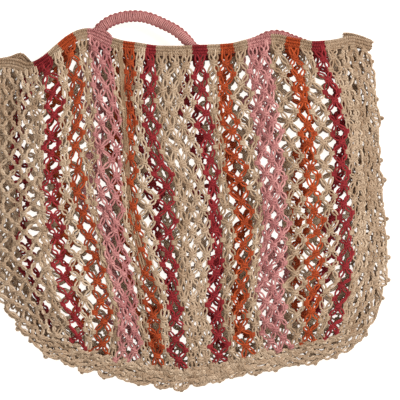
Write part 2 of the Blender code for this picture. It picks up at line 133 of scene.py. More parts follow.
# The middles of the stripes and the panel's two edges, at nine even places from the heading down,
# and how far the side columns of a stripe stand from its middle there, in millimetres.
Stripe = namedtuple("Stripe", "name column half xs reach y_bottom")
FRONT_STRIPES = (
    Stripe("seam_left", -25, 0, (-.1820, -.1765, -.1710, -.1695, -.1680, -.1650, -.1620, -.1560, -.1500),
           (0,) * 9, -.154),
    Stripe("crimson_left_outer", -22, 1,
           (-.1615, -.1525, -.1560, -.1567, -.1545, -.1490, -.1443, -.1315, -.1259),
           (9, 9, 9.2, 9.6, 10, 10.2, 10.2, 9.4, 8.3), -.168),
    Stripe("orange_left_outer", -18, 1,
           (-.1353, -.1286, -.1271, -.1279, -.1233, -.1092, -.1024, -.0959, -.1023),
           (8, 7.6, 7.4, 7.8, 8, 8.4, 9.8, 11, 10), -.176),
    Stripe("pink_left", -13, 2,
           (-.1009, -.0962, -.0918, -.0892, -.0899, -.0835, -.0735, -.0663, -.0693),
           (13.5, 14.2, 13.9, 14.4, 15.4, 14.3, 14.3, 13.7, 14), -.185),
    Stripe("orange_left_inner", -8, 1,
           (-.0664, -.0658, -.0649, -.0641, -.0597, -.0526, -.0424, -.0371, -.0334),
           (5.4, 5, 4.8, 5, 5.4, 6.2, 7.4, 8, 8.4), -.192),
    Stripe("crimson_left_inner", -4, 1,
           (-.0426, -.0431, -.0393, -.0283, -.0244, -.0214, -.0175, -.0140, -.0076),
           (6.2, 7.6, 8.8, 9.8, 10.4, 9.8, 9, 10, 8), -.195),
    Stripe("crimson_right_inner", 4, 1,
           (.0127, .0156, .0212, .0283, .0307, .0324, .0306, .0340, .0366),
           (8.6, 9, 9.8, 7.6, 6.6, 7.5, 9.2, 9.4, 9.4), -.190),
    Stripe("orange_right_inner", 8, 1,
           (.0445, .0428, .0506, .0560, .0650, .0634, .0609, .0610, .0706),
           (8.2, 8.8, 9.8, 11.2, 10, 8.7, 7.6, 8.4, 9.4), -.180),
    Stripe("pink_right", 13, 2,
           (.0803, .0854, .0916, .0958, .0992, .0993, .0950, .0974, .1044),
           (13.4, 14.4, 15, 14.5, 14.7, 15.4, 16.2, 16.4, 15.4), -.172),
    Stripe("orange_right_outer", 18, 1,
           (.1198, .1283, .1365, .1403, .1445, .1453, .1446, .1424, .1370),
           (8.4, 8.8, 9.6, 9.8, 9.5, 10, 9.4, 8.8, 8.6), -.164),
    Stripe("crimson_right_outer", 22, 1,
           (.1503, .1631, .1709, .1754, .1768, .1794, .1801, .1726, .1650),
           (8, 8.3, 7.9, 8.2, 8.3, 8.2, 9, 8.8, 7.8), -.157),
    Stripe("seam_right", 25, 0, (.1720, .1805, .1890, .1930, .1970, .1965, .1960, .1870, .1780),
           (0,) * 9, -.148),
)
# The back panel's stripes lie this far from the front's, in millimetres.
Shift = namedtuple("Shift", "name millimetres")
BACK_SHIFTS = (
    Shift("seam_left", (-13, -33, -40, -39, -39, -40, -37, -27, -14)),
    Shift("crimson_left_outer", (-16, -42, -43, -37, -36, -38, -37, -33, -21)),
    Shift("orange_left_outer", (-14, -22, -24, -22, -24, -30, -30, -27, -14)),
    Shift("pink_left", (-8, -14, -16, -15, -14, -14, -12, -8, -4)),
    Shift("orange_left_inner", (-14, -16, -17, -16, -16, -15, -13, -10, -6)),
    Shift("crimson_left_inner", (-12, -14, -15, -14, -13, -13, -12, -11, -9)),
    Shift("crimson_right_inner", (-8, -15, -16, -12, -6, -4, -4, -4, -4)),
    Shift("orange_right_inner", (-4,) * 9),
    Shift("pink_right", (-4,) * 9),
    Shift("orange_right_outer", (0, 0, -2, -8, -17, -22, -17, -9, -6)),
    Shift("crimson_right_outer", (2, 6, 6, 2, -8, -15, -20, -22, -18)),
    Shift("seam_right", (-4, 0, 0, -2, -6, -9, -11, -11, -9)),
)
BACK_REACH = 8.2            # and its stripes' side columns stand this far out, in millimetres
BACK_STRIPES = tuple(
    stripe._replace(
        xs=tuple(x + shift * MILLIMETRE for x, shift in zip(stripe.xs, move.millimetres)),
        reach=(BACK_REACH * stripe.half,) * 9,
    )
    for stripe, move in zip(FRONT_STRIPES, BACK_SHIFTS)
)

# Soft folds of the upper panel, each a ridge or a trough along the bag.
Fold = namedtuple("Fold", "name x_top x_middle x_bottom half_width height")
FOLDS = (
    Fold("ridge_left_outer", -0.150, -0.132, -0.112, 0.016, 0.0028),
    Fold("trough_left_outer", -0.118, -0.108, -0.090, 0.010, -0.0022),
    Fold("ridge_left_pink", -0.096, -0.088, -0.070, 0.012, 0.0035),
    Fold("pleat_left", -0.077, -0.071, -0.048, 0.007, -0.0050),
    Fold("ridge_left_inner", -0.055, -0.038, -0.020, 0.012, 0.0030),
    Fold("trough_middle", -0.020, 0.002, 0.018, 0.012, -0.0028),
    Fold("ridge_right_inner", 0.040, 0.058, 0.064, 0.012, 0.0026),
    Fold("trough_right_inner", 0.066, 0.080, 0.084, 0.009, -0.0026),
    Fold("ridge_right_pink", 0.085, 0.100, 0.102, 0.011, 0.0032),
    Fold("trough_right_outer", 0.108, 0.122, 0.120, 0.009, -0.0024),
    Fold("ridge_right_outer", 0.135, 0.150, 0.144, 0.014, 0.0024),
)
FOLD_TOP = 0.17             # the Y of the folds' tops and of their bottoms
FOLD_BOTTOM = -0.18
FOLD_FADE = 0.035           # the folds start this far inside the outer fold
MOUTH_FADE = 0.05           # they sink near the mouth, to this share of their height
MOUTH_RELIEF = 0.25

Point = namedtuple("Point", "x y")
Route = namedtuple("Route", "x y z")


def rows(kind, *places):
    """A table of places, each with its columns' names."""
    return tuple(kind(*place) for place in places)


FRONT_HEADING = rows(
    Point, (-0.2225, 0.157), (-0.207, 0.158), (-0.195, 0.156), (-0.185, 0.152), (-0.174, 0.154),
    (-0.162, 0.161), (-0.147, 0.174), (-0.133, 0.185), (-0.122, 0.190), (-0.112, 0.191),
    (-0.101, 0.187), (-0.088, 0.181), (-0.074, 0.177), (-0.060, 0.175), (-0.037, 0.1715),
    (-0.012, 0.171), (0.014, 0.172), (0.037, 0.173), (0.053, 0.1745), (0.066, 0.178), (0.080, 0.1815),
    (0.094, 0.1842), (0.105, 0.1838), (0.115, 0.1812), (0.128, 0.179), (0.141, 0.1765), (0.157, 0.1770),
    (0.176, 0.180), (0.187, 0.183), (0.199, 0.1805), (0.2108, 0.1770),
)
BACK_HEADING = rows(
    Point, (-0.2225, 0.157), (-0.207, 0.1592), (-0.199, 0.1615), (-0.1926, 0.1640), (-0.187, 0.1590),
    (-0.181, 0.1530), (-0.172, 0.1520), (-0.156, 0.156), (-0.140, 0.167), (-0.122, 0.177),
    (-0.101, 0.179), (-0.078, 0.174), (-0.044, 0.168), (0.002, 0.166), (0.048, 0.169), (0.085, 0.175),
    (0.117, 0.174), (0.147, 0.171), (0.168, 0.1740), (0.180, 0.1790), (0.190, 0.1810), (0.200, 0.1800),
    (0.2108, 0.1770),
)
# The gusset's own rim, turned over at the right corner.
CORNER_TAB = rows(
    Point, (0.1788, 0.1870), (0.1860, 0.1867), (0.1900, 0.1858), (0.1980, 0.1834), (0.2050, 0.1806),
    (0.2088, 0.1790),
)
OUTER_FOLD = rows(
    Point, (-0.2225, 0.1505), (-0.223, 0.126), (-0.225, 0.080), (-0.228, 0.034), (-0.230, -0.018),
    (-0.230, -0.058), (-0.225, -0.092), (-0.215, -0.119), (-0.197, -0.144), (-0.174, -0.171),
    (-0.147, -0.188), (-0.110, -0.199), (-0.064, -0.210), (-0.014, -0.217), (0.014, -0.213),
    (0.061, -0.202), (0.109, -0.194), (0.162, -0.184), (0.189, -0.172), (0.206, -0.153),
    (0.219, -0.129), (0.227, -0.102), (0.230, -0.072), (0.228, -0.035), (0.224, 0.000), (0.222, 0.040),
    (0.220, 0.086), (0.217, 0.127), (0.2110, 0.1705),
)
FRONT_HANDLE = rows(
    Route, (-0.1050, 0.1895, 0.0262), (-0.1010, 0.1950, 0.0265), (-0.0955, 0.2000, 0.0268),
    (-0.0874, 0.2050, 0.0265), (-0.0782, 0.2081, 0.0258), (-0.0690, 0.2099, 0.0245),
    (-0.0598, 0.2103, 0.0230), (-0.0495, 0.2093, 0.0222), (-0.0391, 0.2061, 0.0220),
    (-0.0276, 0.2009, 0.0224), (-0.0161, 0.1952, 0.0236), (-0.0069, 0.1883, 0.0246),
    (0.0012, 0.1800, 0.0252), (0.0080, 0.1745, 0.0254), (0.0220, 0.1712, 0.0257),
    (0.0480, 0.1715, 0.0259), (0.0720, 0.1765, 0.0261), (0.0880, 0.1815, 0.0260),
)
BACK_HANDLE = rows(
    Route, (-0.1060, 0.1805, 0.0090), (-0.0780, 0.1760, 0.0090), (-0.0320, 0.1695, 0.0090),
    (0.0250, 0.1700, 0.0090), (0.0640, 0.1750, 0.0090), (0.0820, 0.1825, 0.0090),
    (0.0943, 0.1878, 0.0090), (0.1090, 0.1874, 0.0090), (0.1180, 0.1838, 0.0090),
    (0.1300, 0.1792, 0.0090), (0.1400, 0.1755, 0.0090),
)
# Along X, how much of its full width a handle has: the ends of the part that stands free, and
# the share that the hidden run behind the heading has.
FRONT_FREE = (-0.200, 0.004)
BACK_FREE = (0.068, 0.200)
HIDDEN_SHARE = 0.62
FREE_FADE = 0.01

# A fold of the front panel that is drawn tight, so that its strands lie side by side.
PLEAT = rows(
    Point, (-0.0785, 0.1690), (-0.0765, 0.1560), (-0.0753, 0.1411), (-0.0736, 0.1100),
    (-0.0713, 0.0779), (-0.0696, 0.0468), (-0.0683, 0.0160), (-0.0650, -0.0120), (-0.0587, -0.0430),
    (-0.0490, -0.0780),
)
PLEAT_STRANDS = 3
PLEAT_STEP = 0.004
PLEAT_GAP = 0.0016
PLEAT_LIFT = 0.0016         # it stands this far above the front panel, and sinks by a share
PLEAT_SINK = 0.8
PLEAT_SWAY = 0.0003
PLEAT_SWAY_LENGTH = 0.012
PLEAT_LOOSENS = 0.6         # from this share of the way down, its strands part by a share
PLEAT_PARTS = 0.8

SAME_PLACE = 1e-7           # vertices this close are joined

# The paleness of strands and knots: 0 is the deep tone of a colour and 1 the pale one.
# Painted shade: the tight pleat's strands are painted deep, for the shade in the fold.
PLEAT_SHADE_TONES = (-0.6, 0.0)
STRAND_TONES = (-0.25, 1.10)
# Painted shade: the knots are painted deeper than the strands of the same twine.
KNOT_SHADE_TONES = (0.0, 0.70)
# Painted shade: the headings' cores and the handles' fillers are painted at the deep tone, for the shade
# between wraps and cords.
CORE_SHADE_TONES = (0.0, 0.1)

# The coloured pairs of the net, by the knot column on each pair's left.
PAIR_COLOURS = {
    "crimson": (-23, -22, -5, -4, 3, 4, 21, 22),
    "orange": (-19, -18, -9, -8, 7, 8, 17, 18),
    "pink": (-15, -14, -13, -12, 11, 12, 13, 14),
}
# The coloured blocks of the headings, each from one x to the next.
Block = namedtuple("Block", "colour start end")
HEADING_BLOCKS = (
    Block("crimson", -0.176, -0.158), Block("orange", -0.147, -0.130),
    Block("pink", -0.115, -0.087), Block("orange", -0.0736, -0.0614),
    Block("crimson", -0.0490, -0.0369), Block("crimson", 0.0046, 0.0219),
    Block("orange", 0.0368, 0.0529), Block("pink", 0.0678, 0.0943),
    Block("orange", 0.1121, 0.1288), Block("crimson", 0.1415, 0.1572),
)


def spline(at, knots, values):
    """Read a smooth curve at many places."""
    at = np.asarray(at, float)
    knots = np.asarray(knots, float)
    values = np.asarray(values, float)
    slopes = np.gradient(values, knots)
    place = np.clip(np.searchsorted(knots, at) - 1, 0, len(knots) - 2)
    span = knots[place + 1] - knots[place]
    f = (at - knots[place]) / span
    rise = f * f * (3 - 2 * f)
    first = (f - 1) ** 2 * f * span * slopes[place]
    last = f * f * (f - 1) * span * slopes[place + 1]
    return values[place] * (1 - rise) + values[place + 1] * rise + first + last


def smoothstep(value):
    value = np.clip(value, 0.0, 1.0)
    return value * value * (3 - 2 * value)


def along(points):
    """A reader of the places on a smooth curve, by the share of its length that they stand at."""
    points = np.array(points, float)
    knots = np.concatenate(([0], np.cumsum(np.linalg.norm(np.diff(points, axis=0), axis=1))))
    steps = np.linspace(0, knots[-1], LINE_SAMPLES)
    fine = np.stack([spline(steps, knots, column) for column in points.T], axis=1)
    lengths = np.concatenate(([0], np.cumsum(np.linalg.norm(np.diff(fine, axis=0), axis=1))))

    def read(share):
        return np.stack([np.interp(share, lengths / lengths[-1], lane) for lane in fine.T], axis=-1)

    read.length = float(lengths[-1])
    return read


fold_line = along(OUTER_FOLD)
fold_samples = fold_line(np.linspace(0, 1, FOLD_SAMPLES))


def upper_height(x, y):
    """The middle of the upper layer over places of the floor."""
    x, y = np.ravel(x), np.ravel(y)
    inside = np.full(x.shape, 1.0)
    for sample in fold_samples:
        inside = np.minimum(inside, np.hypot(sample[0] - x, sample[1] - y))
    height = FOLD_HEIGHT + (MOUTH_HEIGHT - FOLD_HEIGHT) * smoothstep(inside / RISE_WIDTH)
    relief = np.zeros(x.shape)
    for fold in FOLDS:
        middle = spline(-y, (-FOLD_TOP, 0.0, -FOLD_BOTTOM), (fold.x_top, fold.x_middle, fold.x_bottom))
        relief += fold.height * np.exp(-(((x - middle) / fold.half_width) ** 2))
    near_mouth = smoothstep((FOLD_TOP - y) / MOUTH_FADE)
    shown = MOUTH_RELIEF + (1 - MOUTH_RELIEF) * near_mouth
    return height + relief * smoothstep(inside / FOLD_FADE - 0.5) * shown


def heading_line(heading, x):
    """The Y of a heading's middle line at places along X, and its slope there."""
    xs = [point.x for point in heading]
    ys = [point.y for point in heading]
    step = MILLIMETRE
    slope = (spline(x + step, xs, ys) - spline(x - step, xs, ys)) / (2 * step)
    return spline(x, xs, ys), slope


def below_heading(heading, x):
    """The Y where a net starts below a heading."""
    middle, slope = heading_line(heading, x)
    return middle - (HEADING_WIDTH / 2 + HEADING_GAP) * np.hypot(1, slope)


def across_panel(stripes, column, share):
    """The X of places of a panel: the coloured cells are wide, and the plain bands between crowd."""
    stations = np.linspace(0, 1, len(stripes[0].xs))
    columns, places = [], []
    for stripe in stripes:
        middle = spline(share, stations, stripe.xs)
        reach = spline(share, stations, stripe.reach) * MILLIMETRE
        sides = (-1, 0, 1) if stripe.half else (0,)
        for side in sides:
            columns.append(stripe.column + side * stripe.half)
            places.append(middle + side * reach)
    columns, places = np.array(columns, float), np.array(places)
    cell = np.clip(np.searchsorted(columns, column) - 1, 0, len(columns) - 2)
    part = (column - columns[cell]) / (columns[cell + 1] - columns[cell])
    lane = np.arange(len(column))
    return places[cell, lane] * (1 - part) + places[cell + 1, lane] * part


def drift(x, y, waves):
    """A slow uneven shift along X and Y."""
    shift = np.zeros((len(x), 2))
    for wave_x, wave_y, phase, push_x, push_y in waves:
        swing = np.sin(wave_x * x + wave_y * y + phase)
        shift += swing[:, None] * (push_x, push_y)
    return shift


def make_waves(reach):
    """The waves of one layer's drift. Each has its numbers along X and Y, phase and two pushes."""
    waves = []
    for _ in range(WAVE_COUNT):
        length = draw.uniform(*WAVE_LENGTHS)
        heading_to = draw.uniform(*WAVE_HEADINGS)
        number = 2 * math.pi / length
        push = draw.normal(0.0, reach / math.sqrt(WAVE_COUNT) * WAVE_GAIN)
        phase = draw.uniform(0, 2 * math.pi)
        slant = draw.uniform(*WAVE_SLANT)
        waves.append(
            (number * math.cos(heading_to), number * math.sin(heading_to), phase, push, push * slant)
        )
    return waves


def panel_points(stripes, column, share):
    """Where places of a panel lie on the floor, by column and by share of the way down."""
    column, share = np.ravel(column).astype(float), np.ravel(share).astype(float)
    edge_share = 1 - np.abs(column) / FRONT.side
    columns = [stripe.column for stripe in stripes]
    full_rows = FRONT.steps / 2
    share = share - FIRST_ROW_LIFT * smoothstep(share * FRONT.steps) * (1 - share) / full_rows
    x = across_panel(stripes, column, share)
    x_top = across_panel(stripes, column, share * 0)
    y_bottom = spline(column, columns, [stripe.y_bottom for stripe in stripes])
    y_top = below_heading(FRONT_HEADING, x_top)
    middle = 1 - (column / FRONT.side) ** 2
    eased = share + LOWER_CROWDING * middle * share * (1 - share)
    y = y_top + (y_bottom - y_top) * eased
    calm = smoothstep(edge_share * CALM_SIDES)
    calm = calm * smoothstep(share * CALM_ENDS) * smoothstep((1 - share) * CALM_ENDS)
    return np.stack((x, y), axis=1) + drift(x, y, front_waves) * calm[:, None]


def seam_line(net, place):
    """A panel's edge at each of the gusset's steps: down the left, along the bottom, up the right."""
    steps = np.arange(net.steps + 1)
    columns = np.linspace(-net.side, net.side, SEAM_SAMPLES)
    left = place(np.full(steps.shape, -net.side), steps)[:, :2]
    right = place(np.full(steps.shape, net.side), steps[::-1])[:, :2]
    lower = along(place(columns, np.full(columns.shape, net.steps))[:, :2])
    bottom = lower(np.linspace(0, 1, GUSSET.steps - 2 * net.steps + 1))
    stops = np.concatenate((left, bottom[1:-1], right))

    def read(step):
        return np.stack([np.interp(step, np.arange(len(stops)), lane) for lane in stops.T], axis=-1)

    return read


def unit(vectors):
    return vectors / np.maximum(np.linalg.norm(vectors, axis=-1, keepdims=True), 1e-9)


def net_grid(net, place):
    """A net's knots, each a little off its place and above the floor, with their directions."""
    column = np.arange(-net.side, net.side + 1)
    grid_step, grid_column = np.meshgrid(np.arange(net.steps + 1), column, indexing="ij")
    places = place(grid_column, grid_step)
    sideways = unit(np.gradient(places, axis=1))
    downward = unit(np.gradient(places, axis=0))
    usual = np.array((WANDER, WANDER, RIPPLE))
    shake = draw.normal(0.0, 1.0, places.shape) * usual
    moved = places + np.clip(shake, -WANDER_LIMIT * usual, WANDER_LIMIT * usual)
    moved[..., 2] = np.maximum(moved[..., 2], BACK_LAYER)
    return moved, sideways, downward


def strand_runs(net, grid):
    """The two strands of every pair, from the left, each an array of its points."""
    places, sideways, downward = grid
    up = np.array(UPWARD)
    runs = []
    for left in range(-net.side, net.side):
        pair = []
        for hand in (-1, 1):
            points = []
            mids, mouths_out, mouths_in = [], [], []
            for step in range(net.steps + 1):
                tied = left if (left + step + net.parity) % 2 else left + 1
                place = places[step, tied + net.side]
                across = sideways[step, tied + net.side]
                down = downward[step, tied + net.side]
                beside = 1 if tied == left else -1
                outer = hand == beside
                reach = KNOT_WORKER if outer else KNOT_FILLER
                mouth = KNOT_MOUTH if outer else KNOT_FILLER
                if step == 0:
                    place = (places[0, left + net.side] + places[0, left + net.side + 1]) / 2
                    mids.append(place + across * hand * TOP_SPREAD)
                    mouths_in.append(place - down * TOP_UP + across * hand * TOP_SPREAD)
                    mouths_out.append(place + down * TOP_DOWN + across * hand * TOP_SPREAD)
                    continue
                mids.append(place + across * beside * reach)
                mouths_in.append(place - down * KNOT_HALF + across * beside * mouth)
                mouths_out.append(place + down * KNOT_HALF + across * beside * mouth)
            for step in range(net.steps):
                start, end = mouths_out[step], mouths_in[step + 1]
                run = end - start
                bow = unit(np.cross(run, up)) * -hand * draw.uniform(*net.bow)
                lift = up * draw.normal(0.0, net.lift)
                first = start + run * BOW_HOLD + bow * BOW_GAIN + lift
                second = end - run * BOW_HOLD + bow * BOW_GAIN + lift
                if step == 0:
                    points.append(mouths_in[0])
                points.append(mids[step])
                points.append(start)
                for f in BOW_STATIONS:
                    g = 1 - f
                    points.append(
                        g**3 * start + 3 * g * g * f * first + 3 * g * f * f * second + f**3 * end
                    )
                points.append(end)
            points.append(mids[net.steps])
            pair.append(np.array(points))
        runs.append(pair)
    return runs


def knot_bars(net, grid):
    """The three crossing bars of every knot, with the pairs that they belong to."""
    places, sideways, downward = grid
    up = np.array(UPWARD)
    bars = []
    for step in range(1, net.steps + 1):
        for column in range(-net.side, net.side + 1):
            if (column + step + net.parity) % 2 == 0:
                continue
            place = places[step, column + net.side]
            across = sideways[step, column + net.side]
            down = downward[step, column + net.side]
            turn = 1 if (step + column) % 4 < 2 else -1
            mixed = net is not GUSSET and colour_of(column - 1) != colour_of(column)
            for order in (-1, 0, 1):
                hand = turn if order == 0 or mixed else -turn
                owner = column - 1 if hand < 0 else column
                owner = min(max(owner, -net.side), net.side - 1)
                tilt = hand * BAR_SLOPE + draw.normal(0.0, BAR_SLOPE_UNEVEN)
                reach = BAR_REACH * draw.uniform(*BAR_UNEVEN) * (BAR_MIXED if mixed else 1)
                lateral = np.cos(BAR_ANGLES) * reach
                drop = order * BAR_SPREAD + lateral * tilt
                rise = np.sin(BAR_ANGLES) * BAR_HEIGHT
                ring = place + across * lateral[:, None] + down * drop[:, None] + up * rise[:, None]
                bars.append((owner, ring))
    return bars


def picots(net, grid):
    """Small loops that stand out along the gusset's fold."""
    places, _, downward = grid
    loops = []
    for step in range(1, net.steps, 2):
        if draw.uniform() > PICOT_SHARE:
            continue
        place = places[step, net.side]
        down = downward[step, net.side]
        outward = unit(np.array((-down[1], down[0], 0.0)))
        if np.dot(outward[:2], place[:2]) < 0:
            outward = -outward
        middle = place + outward * draw.uniform(*PICOT_REACH)
        wide = draw.uniform(*PICOT_WIDE)
        loop = (
            middle
            + outward * (np.cos(BAR_ANGLES) * PICOT_DEEP)[:, None]
            + down * (np.sin(BAR_ANGLES) * wide)[:, None]
            + np.outer(np.sin(BAR_ANGLES + draw.uniform(0, 6)) * PICOT_TILT, UPWARD)
        )
        loops.append((0, loop))
    return loops


def pleat_lines():
    """The strands of the tight fold, side by side down the front."""
    read = along(PLEAT)
    share = np.linspace(0, 1, round(read.length / PLEAT_STEP))
    flat = read(share)
    ahead = unit(np.gradient(flat, axis=0))
    beside = np.stack((-ahead[:, 1], ahead[:, 0]), axis=1)
    lines = []
    for strand in range(PLEAT_STRANDS):
        phase = draw.uniform(0, 2 * math.pi)
        sway = PLEAT_SWAY * np.sin(share * read.length / PLEAT_SWAY_LENGTH * 2 * math.pi + phase)
        loosened = 1 + PLEAT_PARTS * smoothstep((share - PLEAT_LOOSENS) / (1 - PLEAT_LOOSENS))
        offset = (strand - (PLEAT_STRANDS - 1) / 2) * PLEAT_GAP * loosened + sway
        place = flat + beside * offset[:, None]
        height = upper_height(place[:, 0], place[:, 1]) + PLEAT_LIFT * (1 - PLEAT_SINK * share)
        lines.append(np.column_stack((place, height)))
    return lines


def colour_of(pair):
    """The colour of a panel's pair."""
    for colour, pairs in PAIR_COLOURS.items():
        if pair in pairs:
            return colour
    return "natural"


def tube_mesh(name, lines, width, sides, closed, tones):
    """Tubes along many lines, as one mesh with lengths in metres along its U.

    Each tube draws its own paleness between the two tones.
    """
    curve = bpy.data.curves.new(name, "CURVE")
    curve.dimensions = "3D"
    curve.bevel_mode = "ROUND"
    curve.bevel_depth = width / 2
    curve.bevel_resolution = (sides - 4) // 2
    curve.use_fill_caps = not closed
    for line in lines:
        thread = curve.splines.new("POLY")
        thread.points.add(len(line) - 1)
        resting = np.maximum(line[:, 2:], width * FLOOR_REACH)
        padded = np.concatenate((line[:, :2], resting, np.ones((len(line), 1))), axis=1)
        thread.points.foreach_set("co", padded.ravel())
        thread.points.foreach_set("radius", draw.uniform(*TWINE_UNEVEN, len(line)))
        thread.use_cyclic_u = closed
    guide = bpy.data.objects.new(name, curve)
    bpy.context.scene.collection.objects.link(guide)
    graph = bpy.context.evaluated_depsgraph_get()
    mesh = bpy.data.meshes.new_from_object(guide.evaluated_get(graph))
    bpy.data.objects.remove(guide)
    bpy.data.curves.remove(curve)
    counts = [sides * (len(line) if closed else len(line) - 1) for line in lines]
    sizes = np.zeros(len(mesh.polygons), int)
    mesh.polygons.foreach_get("loop_total", sizes)
    caps = len(mesh.polygons) - sum(counts)
    scale = np.ones(len(mesh.loops))
    paleness = np.full(len(mesh.polygons), 0.5, np.float32)
    face = caps
    first = int(sizes[:caps].sum())
    for line, count in zip(lines, counts):
        paleness[face:face + count] = draw.uniform(*tones)
        face += count
        ends = np.concatenate((line, line[:1])) if closed else line
        length = np.linalg.norm(np.diff(ends, axis=0), axis=1).sum()
        scale[first:first + 4 * count] = length
        first += 4 * count
    layer = mesh.uv_layers[0].data
    flat = np.zeros(len(mesh.loops) * 2, np.float32)
    layer.foreach_get("uv", flat)
    flat[0::2] *= scale
    layer.foreach_set("uv", flat)
    mesh.attributes.new("paleness", "FLOAT", "FACE").data.foreach_set("value", paleness)
    return mesh


def piece(name, parts, finish):
    """Join tube meshes into one piece."""
    bm = bmesh.new()
    for part in parts:
        bm.from_mesh(part)
        bpy.data.meshes.remove(part)
    bmesh.ops.remove_doubles(bm, verts=bm.verts[:], dist=SAME_PLACE)
    for face in bm.faces:
        face.smooth = True
    mesh = bpy.data.meshes.new(name)
    bm.to_mesh(mesh)
    bm.free()
    made = bpy.data.objects.new(name, mesh)
    bpy.context.scene.collection.objects.link(made)
    made.data.materials.append(finish)
    return made


Socket = namedtuple("Socket", "name way kind")
TWINE_SOCKETS = (
    Socket("Middle", "INPUT", "Color"), Socket("Pale", "INPUT", "Color"),
    Socket("Deep", "INPUT", "Color"), Socket("Lay", "INPUT", "Float"),
    Socket("Color", "OUTPUT", "Color"), Socket("Roughness", "OUTPUT", "Float"),
    Socket("Height", "OUTPUT", "Float"),
)
PLIES = 2.0
OWN_SHARE = 0.5             # the tone is half the tube's own, and the rest is patches and flecks
PATCH_SHARE = 0.25
FLECK_SHARE = 0.25
MIDDLE_SHARE = 0.3
# Painted shade: the grooves between the plies are painted toward the deep tone.
GROOVE_SHADE_SHARE = 0.35         # how far the grooves between the plies go to the deep tone
FIBRE_HEIGHT = 0.45
ROUGHNESS = (0.62, 0.86)


def set_inputs(node, values):
    """Set or link a node's inputs, by name or by place."""
    for label, value in values.items():
        if isinstance(value, bpy.types.NodeSocket):
            node.id_data.links.new(value, node.inputs[label])
        else:
            node.inputs[label].default_value = value


def twine_group():
    """Jute twine: two plies laid round each other, with painted shade in the grooves between them, loose
    fibres and uneven colour.
    """
    group = bpy.data.node_groups.new("jute_twine", "ShaderNodeTree")
    for socket in TWINE_SOCKETS:
        group.interface.new_socket(
            name=socket.name, in_out=socket.way, socket_type=f"NodeSocket{socket.kind}"
        )
    nodes = group.nodes
    enter = nodes.new("NodeGroupInput").outputs
    leave = nodes.new("NodeGroupOutput")
    where = nodes.new("ShaderNodeTexCoord").outputs

    def reckon(operation, *values):
        made = nodes.new("ShaderNodeMath")
        made.operation = operation
        set_inputs(made, dict(enumerate(values)))
        return made.outputs[0]

    def noise(scale, detail, rough):
        made = nodes.new("ShaderNodeTexNoise")
        given = {"Vector": where["Object"], "Scale": scale, "Detail": detail, "Roughness": rough}
        set_inputs(made, given)
        return made.outputs["Fac"]

    def spread(value, low=0.0, high=1.0, to_low=0.0, to_high=1.0):
        made = nodes.new("ShaderNodeMapRange")
        set_inputs(made, dict(enumerate((value, low, high, to_low, to_high))))
        return made.outputs[0]

    def blend(share, low, high):
        made = nodes.new("ShaderNodeMix")
        made.data_type = "RGBA"
        set_inputs(made, {0: share, 6: low, 7: high})
        return made.outputs[2]

    parted = nodes.new("ShaderNodeSeparateXYZ")
    set_inputs(parted, {"Vector": where["UV"]})
    turns = reckon("DIVIDE", parted.outputs["X"], enter["Lay"])
    laid = reckon("MULTIPLY_ADD", parted.outputs["Y"], PLIES, turns)
    ply = spread(reckon("SINE", reckon("MULTIPLY", laid, 2 * math.pi)), low=-1.0)
    patch = noise(scale=34.0, detail=2.0, rough=0.5)
    fleck = noise(scale=420.0, detail=3.0, rough=0.6)
    fibre = noise(scale=2600.0, detail=2.0, rough=0.6)

    own = nodes.new("ShaderNodeAttribute")
    own.attribute_name = "paleness"
    mixed = reckon("MULTIPLY_ADD", own.outputs["Fac"], OWN_SHARE, 0.0)
    mixed = reckon("MULTIPLY_ADD", spread(patch, 0.35, 0.65), PATCH_SHARE, mixed)
    mixed = reckon("MULTIPLY_ADD", spread(fleck, 0.38, 0.68), FLECK_SHARE, mixed)
    tone = blend(mixed, enter["Deep"], enter["Pale"])
    tone = blend(MIDDLE_SHARE, tone, enter["Middle"])
    # painted shade in the grooves between the plies
    groove_shade = reckon("MULTIPLY", reckon("SUBTRACT", 1.0, ply), GROOVE_SHADE_SHARE)
    put_out = {
        "Color": blend(groove_shade, tone, enter["Deep"]),
        "Roughness": spread(fleck, to_low=ROUGHNESS[0], to_high=ROUGHNESS[1]),
        "Height": reckon("MULTIPLY_ADD", fibre, FIBRE_HEIGHT, ply),
    }
    set_inputs(leave, put_out)
    return group


def srgb(red, green, blue):
    """An everyday colour, 0 to 255, as the light that it reflects."""
    shares = np.array((red, green, blue)) / 255
    linear = np.where(shares <= 0.04045, shares / 12.92, ((shares + 0.055) / 1.055) ** 2.4)
    return (*linear, 1.0)


Shade = namedtuple("Shade", "colour middle pale deep")
SHADES = (
    Shade("natural", (201, 174, 143), (232, 211, 186), (130, 96, 67)),
    Shade("crimson", (148, 20, 32), (192, 66, 70), (94, 6, 14)),
    Shade("orange", (184, 68, 20), (216, 98, 46), (106, 36, 12)),
    Shade("pink", (206, 128, 126), (238, 186, 177), (128, 58, 64)),
)
SLOTS = {shade.colour: f"{shade.colour}_jute" for shade in SHADES}
LAY = 0.0052                # the length of one turn of the twine
BUMP_HEIGHT = 0.0003


def jute(shade):
    """One colour of twine, as a material."""
    finish = bpy.data.materials.new(SLOTS[shade.colour])
    finish.use_nodes = True
    nodes = finish.node_tree.nodes
    twine = nodes.new("ShaderNodeGroup")
    twine.node_tree = twine_nodes
    tones = {"Middle": srgb(*shade.middle), "Pale": srgb(*shade.pale), "Deep": srgb(*shade.deep)}
    set_inputs(twine, {**tones, "Lay": LAY})
    bump = nodes.new("ShaderNodeBump")
    set_inputs(bump, {"Strength": 0.5, "Distance": BUMP_HEIGHT, "Height": twine.outputs["Height"]})
    look = {
        "Base Color": twine.outputs["Color"], "Roughness": twine.outputs["Roughness"],
        "Normal": bump.outputs["Normal"], "Metallic": 0.0, "Specular IOR Level": 0.25,
        "Sheen Weight": 0.03, "Sheen Roughness": 0.5,
    }
    set_inputs(nodes["Principled BSDF"], look)
    return finish


twine_nodes = twine_group()
FINISHES = {shade.colour: jute(shade) for shade in SHADES}


def settle(made, node):
    """Attach a finished piece to the root body, and hide the part that it stands in for."""
    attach(made, "root")
    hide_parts(node)


